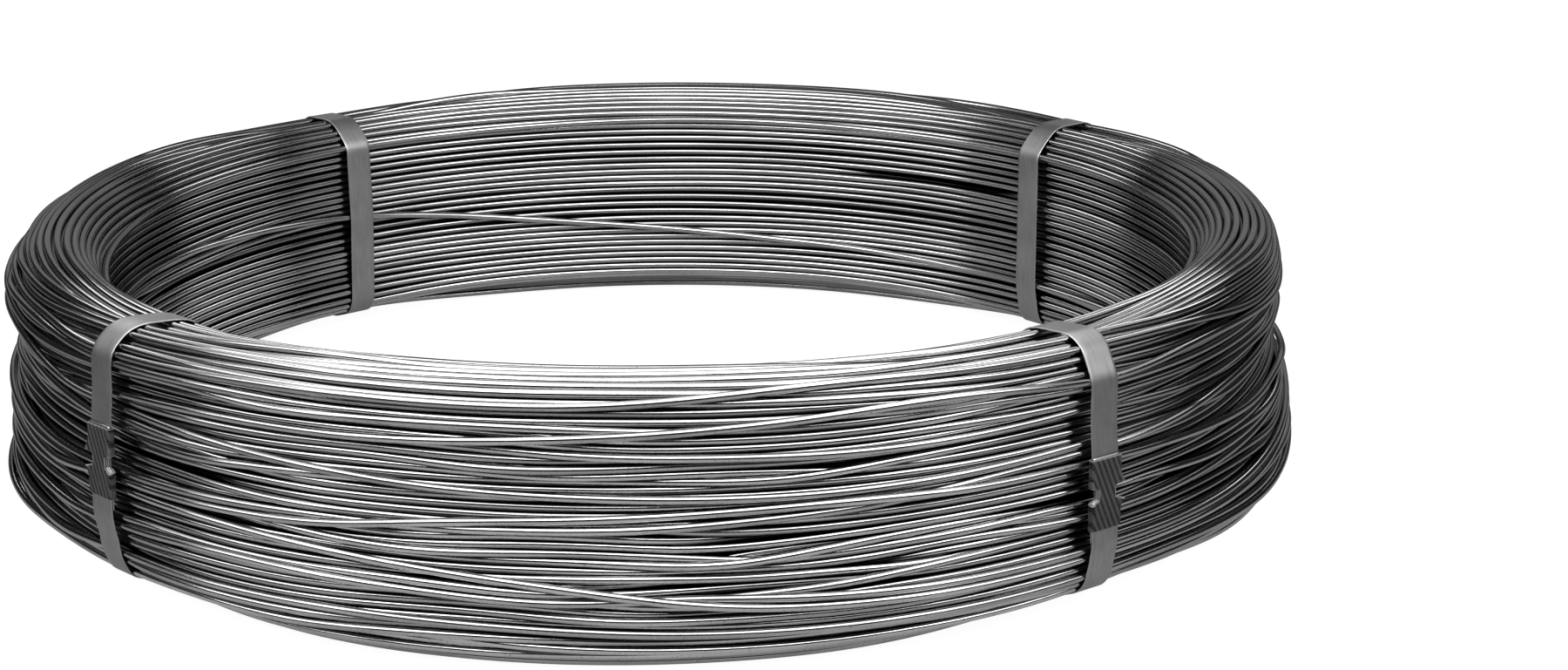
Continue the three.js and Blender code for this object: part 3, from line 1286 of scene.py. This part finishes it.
@dataclass
class Strap:
    """One steel strap and its seal.

    Attributes:
        place: where it stands.
        winding: the turns that it holds.
        seal: the seal's sizes.
        width: of the band.
        thickness: of the band.
        step: between the stations along it.
        ramp: the length in which it climbs on to or off the lap.
        directions: how many ways round the section its taut line is looked for.
        cutoff: the number of the wave that its stiffness halves, counted once round.
        bare_edge: how much of each edge is bare.
        bare_fade: the width over which that fades.
        edge_wear: how bare the edges are, up to one.
        rim_wear: how bare the seal's two ends are.
        cut_fade: the length over which bare metal fades from the notch along the seal's sides.
    """

    place: Place
    winding: Winding
    seal: SealSize
    width: float = 19 * MM
    thickness: float = 0.8 * MM
    step: float = 1.3 * MM
    ramp: float = 16 * MM
    directions: int = 1440
    cutoff: float = 24.0
    bare_edge: float = 0.5 * MM
    bare_fade: float = 0.4 * MM
    edge_wear: float = 0.75
    rim_wear: float = 0.6
    cut_fade: float = 0.8 * MM

    def loop(self) -> Array:
        """The taut line round the turns under the band, closed, from the tail's place on the outer face.

        For each direction, the line touches the rod that reaches furthest that way. The contacts are
        joined in order and resampled evenly, and short kinks are taken out.

        Returns:
            (n, 2) points, from the tail's height upwards and round, without the first repeated.
        """
        rods = self.winding.reach_at(math.radians(self.place.value), self.width / 2)
        look = np.arange(self.directions) * TURN / self.directions
        facing = np.stack([np.cos(look), np.sin(look)], -1)
        furthest = (rods @ facing.T).argmax(0)
        touch = rods[furthest] + facing * (self.winding.rod / 2)
        touch[:, 1] = np.maximum(touch[:, 1], self.thickness + self.seal.gap)
        touch = np.concatenate([touch, touch[:1]])
        travel = np.concatenate([[0.0], np.cumsum(np.linalg.norm(np.diff(touch, axis=0), axis=-1))])
        count = int(round(travel[-1] / self.step))
        even = np.arange(count) * travel[-1] / count
        line = np.stack([np.interp(even, travel, column) for column in touch.T], -1)
        line = smooth_round(line, self.cutoff)
        outer_face = line[:, 0] > line[:, 0].mean()
        tail_height = self.seal.height - self.seal.length / 2 - self.seal.tail
        start = np.where(outer_face, np.abs(line[:, 1] - tail_height), np.inf).argmin()
        return np.roll(line, -start, axis=0)

    def path(self) -> tuple[Array, Array]:
        """The middle of the band, from its tail over the top, round and up through the seal again.

        The band stands off the taut line by half its thickness, by the seal's flange as well where
        it is the under layer of the lap, and by one layer more where it is the outer.

        Returns:
            (n, 2) points and (n, 2) outward normals.
        """
        line, lap = self.loop(), self.seal.lap
        line = np.concatenate([line, line[:int(round(lap / self.step))]])
        travel = np.arange(len(line)) * self.step
        close = self.seal.gap + self.thickness / 2
        inner = self.seal.gap + self.seal.sheet + self.seal.gap + self.thickness / 2
        outer = inner + self.thickness + self.seal.gap
        once = travel[-1] - lap
        stops = [0.0, lap, lap + self.ramp, once - self.ramp, once, travel[-1]]
        off = np.interp(travel, stops, [inner, inner, close, close, outer, outer])
        along = unit(np.gradient(line, axis=0))
        normal = np.stack([along[:, 1], -along[:, 0]], -1)
        return line + normal * off[:, None], normal

    def stand(self, out: Array, across: Array, height: Array) -> Array:
        """Carries points from the band's own frame to their place on the coil.

        Args:
            out: the distance from the coil's axis.
            across: the distance across the band.
            height: above the floor.

        Returns:
            The points, with a last axis of three.
        """
        angle = math.radians(self.place.value)
        x = out * math.cos(angle) - across * math.sin(angle)
        y = out * math.sin(angle) + across * math.cos(angle)
        return np.stack([x, y, height + 0.0 * x], -1)

    def band_ring(self) -> Array:
        """The band's section: two rounded edges with points across each face between them.

        Returns:
            (n, 2) points, as the distance across and the distance out from its middle.
        """
        half, edge, edge_points = self.width / 2, self.thickness / 2, 5
        swing = np.linspace(-math.pi / 2, math.pi / 2, edge_points)
        right = np.stack([half - edge + edge * np.cos(swing), edge * np.sin(swing)], -1)
        face_stops = np.array([0.8, 0.4, 0.0, -0.4, -0.8]) * half
        face = np.stack([face_stops, np.full(face_stops.shape, edge)], -1)
        return np.concatenate([right, face, -right, -face])

    def build_band(self) -> bpy.types.Object:
        """Makes the band: its section carried along its path, closed at both cut ends.

        Its half width follows the seal's notch where both laps are cut by it.

        Returns:
            The piece.
        """
        (path, normal), ring, half = self.path(), self.band_ring(), self.width / 2
        rows, columns = len(path), len(ring)
        lap_steps = int(self.seal.lap / self.step) + 1
        in_lap = np.zeros(rows)
        in_lap[:lap_steps] = 1.0
        in_lap[-lap_steps:] = 1.0
        narrow = 1.0 - in_lap * self.seal.notch(path[:, 1]) / half
        across = ring[:, 0] * narrow[:, None]
        out = path[:, None, 0] + normal[:, None, 0] * ring[:, 1]
        height = path[:, None, 1] + normal[:, None, 1] * ring[:, 1]
        vertices = self.stand(out, across, height).reshape(-1, 3)
        sides = grid_faces(rows, columns, False, True)
        ends = [list(range(columns)), list(range(rows * columns - 1, (rows - 1) * columns - 1, -1))]
        piece = add_mesh(f"strap_{self.place.label}_band", vertices, sides.tolist() + ends)
        past_face = np.abs(ring[:, 0]) - (half - self.bare_edge)
        edge_bare = np.clip(past_face / self.bare_fade, 0.0, 1.0) * self.edge_wear
        least_nick = 0.005
        nicked = (narrow < 1.0 - least_nick)[:, None]
        notch_bare = nicked * (past_face > 0.0)
        end_bare = np.zeros((rows, 1))
        end_bare[[0, -1]] = 1.0
        bare = np.maximum(np.maximum(edge_bare, notch_bare), end_bare)
        along = np.broadcast_to(np.arange(rows)[:, None] * self.step, bare.shape)
        add_vectors(piece, "band_lay", np.stack([along, across, bare], -1).reshape(-1, 3))
        return piece

    @property
    def seal_side(self) -> float:
        """The distance from the seal's middle line to the middle of its side sheet."""
        return self.width / 2 + self.seal.gap + self.seal.sheet / 2

    @property
    def seal_deep(self) -> float:
        """The distance from the middle of its flanges' sheet to the middle of its face's."""
        return self.seal.gap * 3 + self.thickness * 2 + self.seal.sheet

    def seal_ring(self) -> tuple[Array, NDArray[np.int64]]:
        """The seal's section, from one flange's tip round the fold, the side and the face to the other.

        Returns:
            (n, 2) points, as the distance out from the flanges and the distance across, and the
            number of each point's part.
        """
        side, deep, bend = self.seal_side, self.seal_deep, self.seal.bend
        flange_points, fold_points, face_points = 5, 4, 8
        side_points = 2 * (fold_points - 1)
        flange_stops = np.linspace(side - self.seal.flange, side - bend, flange_points)[:-1]
        fold = np.linspace(0.0, math.pi / 2, fold_points)
        flange = [(0.0, across) for across in flange_stops]
        back_fold = [(bend - bend * math.cos(at), side - bend + bend * math.sin(at)) for at in fold]
        front_fold = [(deep - bend + bend * math.sin(at), side - bend + bend * math.cos(at)) for at in fold]
        face = [(deep, across) for across in np.linspace(side - bend, 0.0, face_points)[1:]]
        half = np.array(flange + back_fold + front_fold + face)
        parts = {SealPart.FLANGE: flange_points, SealPart.SIDE: side_points, SealPart.FACE: face_points}
        part = np.repeat([one.value for one in parts], list(parts.values()))
        return np.concatenate([half * (1, -1), half[-2::-1]]), np.concatenate([part, part[-2::-1]])

    def seal_rises(self) -> Array:
        """The stations along the seal, closest together on the notch's slopes.

        Returns:
            Heights above its middle, from end to end.
        """
        notch, end = self.seal.notch_length / 2, self.seal.length / 2
        floor_points, slope_points, end_points = 4, 3, 16
        upper = np.concatenate([
            np.linspace(0.0, notch - self.seal.notch_slope, floor_points, endpoint=False),
            np.linspace(notch - self.seal.notch_slope, notch, slope_points, endpoint=False),
            np.linspace(notch, end, end_points, endpoint=False),
            [end],
        ])
        return np.concatenate([-upper[:0:-1], upper])

    def build_seal(self) -> bpy.types.Object:
        """Makes the seal: a channel of sheet folded round both laps, notched, with its corners torn out.

        In the notch the sides are left out, and the face and flanges draw in. Next to the notch the
        sides and the face's edges flare outwards by a bell curve of the distance from it.

        Returns:
            The piece.
        """
        size, side, deep = self.seal, self.seal_side, self.seal_deep
        (ring, part), rise = self.seal_ring(), self.seal_rises()
        out, across = (np.broadcast_to(column, (len(rise), len(ring))) for column in ring.T)
        notch = size.notch(size.height + rise)[:, None]
        in_notch = (np.abs(rise) < size.notch_length / 2 - TINY)[:, None]
        beside = np.maximum(np.abs(rise) - size.notch_length / 2, 0.0)[:, None]
        face_half, tip = side - size.bend, side - size.flange
        drawn = np.where(part == SealPart.FACE.value, across * (1.0 - notch / face_half), across)
        flange = np.sign(across) * (tip + (np.abs(across) - tip) * (1.0 - notch / (face_half - tip)))
        drawn = np.where(part == SealPart.FLANGE.value, flange, drawn)
        near_notch = np.exp(-((beside / size.ear_length) ** 2)) * ~in_notch
        near_edge = np.clip((np.abs(across) - (side - size.ear_width)) / size.ear_width, 0.0, 1.0) ** 2
        ear = near_notch * near_edge * np.clip(out / deep, 0.0, 1.0) * size.ear
        drawn = drawn + np.sign(across) * ear
        out = out + size.ear_lean * ear
        path = self.path()[0][:int(size.lap / self.step)]
        strap_out = np.interp(size.height + rise, path[:, 1], path[:, 0])
        start = strap_out - self.thickness / 2 - size.gap - size.sheet / 2
        height = np.broadcast_to((size.height + rise)[:, None], out.shape)
        vertices = self.stand(start[:, None] + out, drawn, height).reshape(-1, 3)
        faces = grid_faces(len(rise), len(ring), False, False).reshape(len(rise) - 1, len(ring) - 1, 4)
        face_in_notch = np.abs((rise[1:] + rise[:-1]) / 2) < size.notch_length / 2
        on_side = part == SealPart.SIDE.value
        keep = ~(face_in_notch[:, None] & (on_side[1:] | on_side[:-1])[None, :])
        piece = add_mesh(f"seal_{self.place.label}_sheet", vertices, faces[keep][:, ::-1])
        rim = np.zeros(out.shape)
        rim[[0, -1]] = self.rim_wear
        at_side = np.abs(across) > face_half - TINY
        cut = np.clip(1.0 - beside / self.cut_fade, 0.0, 1.0) * at_side
        along = np.broadcast_to(rise[:, None], out.shape)
        add_vectors(piece, "band_lay", np.stack([along, drawn, np.maximum(rim, cut)], -1).reshape(-1, 3))
        self.thicken(piece)
        return piece

    def thicken(self, piece: bpy.types.Object) -> None:
        """Gives a sheet its thickness, half to each side, and softens its edges.

        Args:
            piece: the sheet.
        """
        bpy.context.view_layer.update()
        wall = piece.modifiers.new("wall", "SOLIDIFY")
        wall.thickness = self.seal.sheet
        wall.offset = 0.0
        soft = piece.modifiers.new("soft_edge", "BEVEL")
        soft.width = 0.14 * MM
        soft.segments = 2
        soft.limit_method = "ANGLE"
        soft.angle_limit = math.radians(50)

    def build(self, band_material: bpy.types.Material, seal_material: bpy.types.Material) -> None:
        """Makes the band and its seal, and lets each stand for its plain solid.

        Args:
            band_material: the band's.
            seal_material: the seal's.
        """
        band = self.build_band()
        band.data.materials.append(band_material)
        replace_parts(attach(band, "root"), f"strap_{self.place.label}")
        seal = self.build_seal()
        seal.data.materials.append(seal_material)
        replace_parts(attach(seal, "root"), f"seal_{self.place.label}")


# ---- The studio ------------------------------------------------------------------------------------

@dataclass(frozen=True)
class Softbox:
    """A rectangular lamp.

    Attributes:
        name: the lamp's name.
        place: of its middle.
        size: its width and its length.
        level: the brightness that its face shows.
        aim: the point that it faces, or None for the floor straight below.
    """

    name: str
    place: tuple[float, float, float]
    size: tuple[float, float]
    level: float
    aim: tuple[float, float, float] | None = None

    def build(self) -> None:
        """Hangs the lamp, whose power is four times its area times the level that it shows."""
        aim = Vector(self.aim or (self.place[0], self.place[1], 0.0))
        data = bpy.data.lights.new(self.name, "AREA")
        data.shape = "RECTANGLE"
        data.size, data.size_y = self.size
        data.energy = 4.0 * self.size[0] * self.size[1] * self.level
        lamp = bpy.data.objects.new(self.name, data)
        lamp.location = self.place
        lamp.rotation_euler = (aim - Vector(self.place)).to_track_quat("-Z", "Y").to_euler()
        bpy.context.scene.collection.objects.link(lamp)


@dataclass(frozen=True)
class Floor:
    """A wide pale floor that keeps the coil's shadow.

    Each span gives two places, and each pair of shares what is left of the mirrored glow there.

    Attributes:
        reach: half its width.
        level: its own colour.
        glow: what it adds to itself where the camera sees it.
        mirrored_glow: what it adds in front of the coil where it is seen in the metal.
        far_glow: what it adds there behind the coil.
        front_span: the places along Y at which it has these two.
        near_span: the distances from the axis at which the mirrored glow starts to fade and is least.
        near_shares: there.
        middle_span: the distances to either side at which it starts to fade and is least.
        middle_shares: there.
        eye_glow: what the floor adds inside the coil's eye where it is seen in the metal.
        eye_span: the distances from the axis at which that starts to fade and is gone.
    """

    reach: float = 14.0
    level: float = 0.16
    glow: float = 0.96
    mirrored_glow: float = 0.35
    far_glow: float = 0.05
    front_span: tuple[float, float] = (-0.30, 0.10)
    near_span: tuple[float, float] = (0.58, 0.88)
    near_shares: tuple[float, float] = (1.0, 0.06)
    middle_span: tuple[float, float] = (0.20, 0.50)
    middle_shares: tuple[float, float] = (1.0, 0.25)
    eye_glow: float = 0.27
    eye_span: tuple[float, float] = (0.33, 0.42)

    def material(self) -> bpy.types.Material:
        """Builds the material.

        The floor's own colour is a mid grey, and to the camera it glows up to white. Seen in the
        metal it glows less: strongest close in front of the coil and in its eye, and next to nothing
        behind it, as if the far side lay in the dark.

        Returns:
            The material.
        """
        made, graph = new_material("pale_floor")
        path = graph.add("LightPath").outputs
        mirrored = graph.math("MAXIMUM", path["Is Glossy Ray"], path["Is Transmission Ray"])
        x, y, _ = graph.split(graph.add("TexCoord").outputs["Object"])
        distance = graph.math("SQRT", graph.math("MULTIPLY_ADD", x, x, graph.math("MULTIPLY", y, y)))
        near = graph.spread(distance, self.near_span, self.near_shares)
        middle = graph.spread(graph.math("ABSOLUTE", x), self.middle_span, self.middle_shares)
        front = graph.spread(y, self.front_span, (self.mirrored_glow, self.far_glow))
        eye = graph.spread(distance, self.eye_span, (self.eye_glow, 0.0))
        outside = graph.math("MULTIPLY", graph.math("MULTIPLY", near, middle), front)
        seen = graph.math("MULTIPLY", path["Is Camera Ray"], self.glow)
        glow = graph.math("MULTIPLY_ADD", mirrored, graph.math("MAXIMUM", outside, eye), seen)
        diffuse = graph.add("BsdfDiffuse", {"Color": grey(self.level)})
        shine = graph.add("Emission", {"Color": grey(1.0), "Strength": glow})
        both = graph.add("AddShader", {0: diffuse.outputs[0], 1: shine.outputs[0]})
        graph.add("OutputMaterial", {"Surface": both.outputs[0]})
        return made

    def build(self) -> None:
        """Lays the floor, one square with the coil's axis at its middle."""
        corners = self.reach * np.array([(-1, -1, 0), (1, -1, 0), (1, 1, 0), (-1, 1, 0)], float)
        floor = add_mesh("floor", corners, [[0, 1, 2, 3]])
        floor.data.materials.append(self.material())


@dataclass(frozen=True)
class Studio:
    """The camera, the pale floor and the soft light.

    Attributes:
        aim: the point at the middle of the view.
        distance: from the aim to the camera.
        elevation: of the camera above the aim, in degrees.
        roll: of the camera, in degrees.
        lens: focal length, in millimetres.
        sensor: the width of the camera's sensor, in millimetres.
        floor: the floor.
        world_level: the brightness all round.
        lamps: the soft lamps.
    """

    aim: tuple[float, float, float] = (0.0816, 0.0, 0.0660)
    distance: float = 1.7636
    elevation: float = 16.16
    roll: float = -0.175
    lens: float = 64.06
    sensor: float = 36.0
    floor: Floor = Floor()
    world_level: float = 0.025
    lamps: tuple[Softbox, ...] = (
        Softbox("front_canopy", (0.05, -1.05, 0.95), size=(2.5, 1.0), level=4.2),
        Softbox("overhead_strip", (-0.01, -0.30, 0.95), size=(1.5, 0.5), level=2.0),
        Softbox("overhead_rear", (-0.01, 0.36, 0.95), size=(1.3, 0.82), level=0.14),
        Softbox("low_strip", (-0.01, -0.06, 0.62), size=(0.95, 0.46), level=1.5),
        Softbox("left_wing", (-1.90, -0.96, 1.20), size=(1.25, 0.9), level=3.0, aim=(0.0, -0.1, 0.1)),
        Softbox("right_wing", (1.95, -1.03, 1.20), size=(1.25, 0.9), level=2.8, aim=(0.0, -0.1, 0.1)),
        Softbox("overhead_left", (-1.15, 0.0, 0.95), size=(0.9, 0.8), level=0.7),
        Softbox("overhead_right", (1.15, 0.0, 0.95), size=(0.9, 0.8), level=0.6),
        Softbox("rear_left", (-0.80, 1.00, 0.95), size=(0.7, 0.8), level=2.0),
        Softbox("rear_right", (0.80, 1.00, 0.95), size=(0.7, 0.8), level=1.9),
        Softbox("back_panel", (0.05, 2.30, 0.75), size=(3.6, 0.9), level=0.15, aim=(0.05, 0.0, 0.2)),
    )

    def build_camera(self) -> None:
        """Places the camera in front of the coil, looking along +Y and down, with a slight roll."""
        data = bpy.data.cameras.new("camera")
        data.lens = self.lens
        data.sensor_width = self.sensor
        data.sensor_fit = "HORIZONTAL"
        data.clip_start = 0.01
        camera = bpy.data.objects.new("camera", data)
        tilt, roll = math.radians(self.elevation), math.radians(self.roll)
        look = np.array([0.0, math.cos(tilt), -math.sin(tilt)])
        right = np.array([1.0, 0.0, 0.0])
        up = np.cross(right, look)
        rolled_right = math.cos(roll) * right + math.sin(roll) * up
        rolled_up = math.cos(roll) * up - math.sin(roll) * right
        camera.location = np.array(self.aim) - self.distance * look
        camera.rotation_euler = Matrix(np.stack([rolled_right, rolled_up, -look], -1).tolist()).to_euler()
        bpy.context.scene.collection.objects.link(camera)
        bpy.context.scene.camera = camera

    def build_light(self) -> None:
        """Hangs the lamps in a dim world.

        A canopy over the front and strips overhead draw the bright lines along the turns, the wings
        and the side and rear lamps light the coil's ends, and a faint panel stands far behind it.
        """
        for lamp in self.lamps:
            lamp.build()
        world = bpy.data.worlds.new("studio")
        bpy.context.scene.world = world
        world.use_nodes = True
        world.node_tree.nodes.clear()
        graph = Graph(world.node_tree)
        backdrop = graph.add("Background", {"Color": grey(1.0), "Strength": self.world_level})
        graph.add("OutputWorld", {"Surface": backdrop.outputs[0]})

    def build(self) -> None:
        """Sets the whole studio up."""
        bpy.context.scene.view_settings.view_transform = "Standard"
        self.build_camera()
        self.floor.build()
        self.build_light()


# ---- Putting it together ---------------------------------------------------------------------------

# The turns that cross the others: four whose stops are listed, and four that wander.
CROSSING_STRANDS = (
    Strand((
        (60.0, 0.100), (160.0, 0.120), (225.0, 0.090), (242.0, 0.083), (256.5, 0.067), (269.0, 0.045),
        (282.0, 0.017), (320.0, 0.012),
    )),
    Strand((
        (210.0, 0.205), (240.0, 0.232), (263.0, 0.250), (282.0, 0.270), (308.0, 0.285), (20.0, 0.240),
        (110.0, 0.200),
    )),
    Strand((
        (30.0, 0.725), (76.0, 0.707), (104.0, 0.671), (130.0, 0.610), (170.0, 0.580), (250.0, 0.620),
        (320.0, 0.700),
    )),
    Strand(((30.0, 0.480), (100.0, 0.476), (160.0, 0.486), (250.0, 0.498), (340.0, 0.485))),
    stray_strand(seed=31, share=0.205, wander=0.045),
    stray_strand(seed=32, share=0.150, wander=0.050),
    stray_strand(seed=33, share=0.100, wander=0.045),
    stray_strand(seed=34, share=0.050, wander=0.035),
)

# Where the pack stands proud of its even shape, and where it is slack and sinks in.
BULGES = (
    Bulge(angle=190.0, share=0.26, half_angle=24.0, half_share=0.040, rise=-5.0 * MM),
    Bulge(angle=196.0, share=0.32, half_angle=26.0, half_share=0.045, rise=-12.0 * MM),
    Bulge(angle=198.0, share=0.200, half_angle=24.0, half_share=0.030, rise=-10.0 * MM),
    Bulge(angle=196.0, share=0.155, half_angle=24.0, half_share=0.022, rise=-9.0 * MM),
    Bulge(angle=196.0, share=0.110, half_angle=24.0, half_share=0.045, rise=-7.5 * MM),
    Bulge(angle=196.0, share=0.010, half_angle=24.0, half_share=0.025, rise=-6.0 * MM),
    Bulge(angle=352.0, share=0.230, half_angle=26.0, half_share=0.070, rise=-15.5 * MM),
    Bulge(angle=352.0, share=0.120, half_angle=24.0, half_share=0.070, rise=-9.0 * MM),
    Bulge(angle=352.0, share=0.980, half_angle=12.0, half_share=0.050, rise=-3.0 * MM),
    Bulge(angle=331.0, share=0.965, half_angle=11.0, half_share=0.050, rise=4.0 * MM),
    Bulge(angle=143.0, share=0.370, half_angle=18.0, half_share=0.080, rise=-3.5 * MM),
    Bulge(angle=268.0, share=0.306, half_angle=52.0, half_share=0.045, rise=4.0 * MM),
    Bulge(angle=348.0, share=0.300, half_angle=24.0, half_share=0.040, rise=-6.0 * MM),
    Bulge(angle=178.0, share=0.300, half_angle=14.0, half_share=0.040, rise=-3.0 * MM),
    Bulge(angle=222.0, share=0.965, half_angle=14.0, half_share=0.050, rise=-3.5 * MM),
    Bulge(angle=315.0, share=0.965, half_angle=13.0, half_share=0.050, rise=-3.5 * MM),
    Bulge(angle=134.0, share=0.800, half_angle=13.0, half_share=0.050, rise=3.0 * MM),
    Bulge(angle=47.0, share=0.800, half_angle=13.0, half_share=0.050, rise=3.0 * MM),
    Bulge(angle=293.0, share=0.400, half_angle=10.0, half_share=0.060, rise=-3.5 * MM),
)


def coil_section() -> CoilSection:
    """Reads the section of the coil from its plain solid's box.

    Returns:
        The section, with the build from bore to outside and the flat between the shoulders as named.
    """
    low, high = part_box("wire_coil")
    build, flat = 65 * MM, 7 * MM
    shoulder = (build - flat) / 2
    return CoilSection(inner=high.x - build, outer=high.x, bottom=low.z, top=high.z, shoulder=shoulder)


def seal_size(place: Place) -> SealSize:
    """The seal's sizes, with its length and height as the plain solid has them."""
    low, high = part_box(f"seal_{place.label}")
    return SealSize(length=high.z - low.z, height=(low.z + high.z) / 2)


def main() -> None:
    """Builds the studio, the wound rod and the straps in order."""
    logging.basicConfig(level=logging.INFO, format="%(message)s")
    Studio().build()
    log.info("studio: camera, floor and lamps")
    steel = RodFinish().material(rod_surface_group())
    angles = tuple(math.radians(place.value) for place in Place)
    waves = WaveField(seed=5, height=1.3 * MM, round_axis=(1, 5), round_section=(3, 9))
    swell = Swell(strap_angles=angles, bulges=BULGES, waves=waves)
    winding = Winding(section=coil_section(), swell=swell, strands=CROSSING_STRANDS)
    for piece in WireCoil(winding).build(steel):
        log.info("%s: %d faces", piece.name, len(piece.data.polygons))
    band = BandFinish("strapping_steel", level=0.28, cut_level=0.08, roughness=0.45, metal=1.0).material()
    seal = BandFinish(
        "seal_steel", level=0.022, cut_level=0.15, roughness=0.6, metal=0.0, sheen=0.08, hatch=1.5
    ).material()
    for place in Place:
        Strap(place, winding, seal_size(place)).build(band, seal)
        log.info("strap and seal: %s", place.label)


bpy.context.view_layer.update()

if __name__ == "__main__":
    main()
